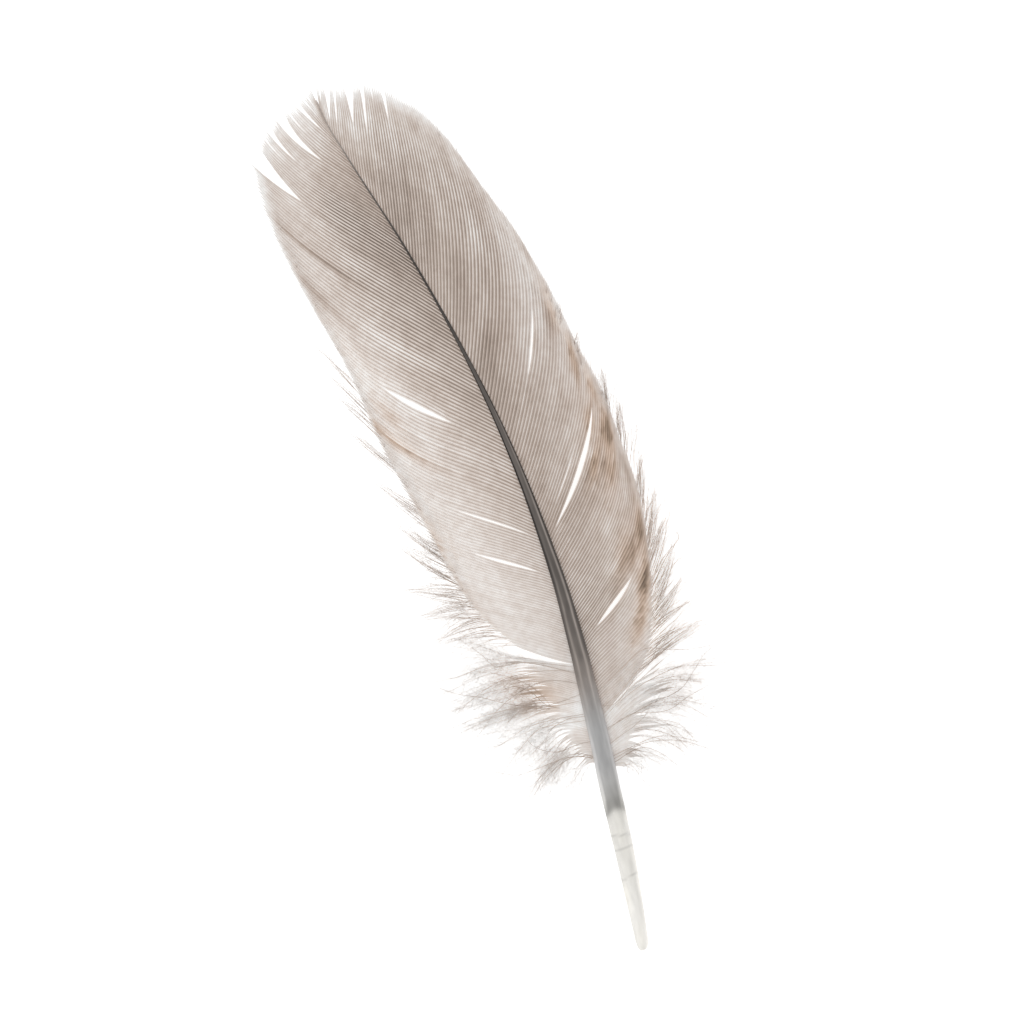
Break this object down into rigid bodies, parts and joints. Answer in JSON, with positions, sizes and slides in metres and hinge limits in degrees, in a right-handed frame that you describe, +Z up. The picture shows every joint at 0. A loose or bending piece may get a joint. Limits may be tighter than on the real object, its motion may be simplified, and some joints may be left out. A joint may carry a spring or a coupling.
{
  "type": "turkey wing feather",
  "caption": "Small wing feather lying upper side up: pale quill, dark curved shaft, two barbed vanes with slits, and loose down at their base.",
  "frame": {"origin": "on the surface that the feather rests on, under the middle of its box", "axes": "+X from the quill tip to the feather tip, +Y to the feather's left, +Z up out of its upper side"},
  "size_m": [0.1302, 0.0407, 0.0069],
  "materials": {
    "vane": "soft matt barbs, beige-grey with dark ribs and brown mottling",
    "shaft": "smooth horn, dark grey along the vanes and pale cream at the quill",
    "down": "very fine loose fluff, pale grey with brown tinges"
  },
  "bodies": {
    "root": {"feather": "vane"}
  },
  "joints": []
}
